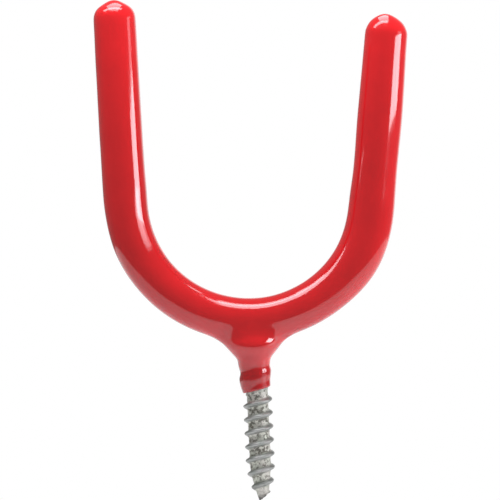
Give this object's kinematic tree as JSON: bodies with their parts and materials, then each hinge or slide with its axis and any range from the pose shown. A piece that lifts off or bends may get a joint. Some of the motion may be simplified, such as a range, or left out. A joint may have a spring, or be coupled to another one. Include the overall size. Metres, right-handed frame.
{
  "type": "screw-in utility hook",
  "caption": "U-shaped utility hook of bent steel rod with a dipped red vinyl coat, welded to a lag screw that drives into a stud or joist.",
  "frame": {"origin": "on the screw's axis where the vinyl coat ends, which is as deep as the screw is driven", "axes": "+Z along the screw's axis, out of the wall or joist and into the hook; X across the U from its left arm to its right; Y through the U's opening"},
  "size_m": [0.0683, 0.0096, 0.1097],
  "materials": {
    "red_vinyl": "glossy dipped plastisol",
    "plain_steel": "bare drawn steel, hidden under the coat",
    "zinc_plated_steel": "bright zinc plate with dull roots"
  },
  "bodies": {
    "root": {"vinyl_coat": "red_vinyl", "u_rod": "plain_steel", "weld_collar": "plain_steel", "lag_screw": "zinc_plated_steel"}
  },
  "joints": []
}
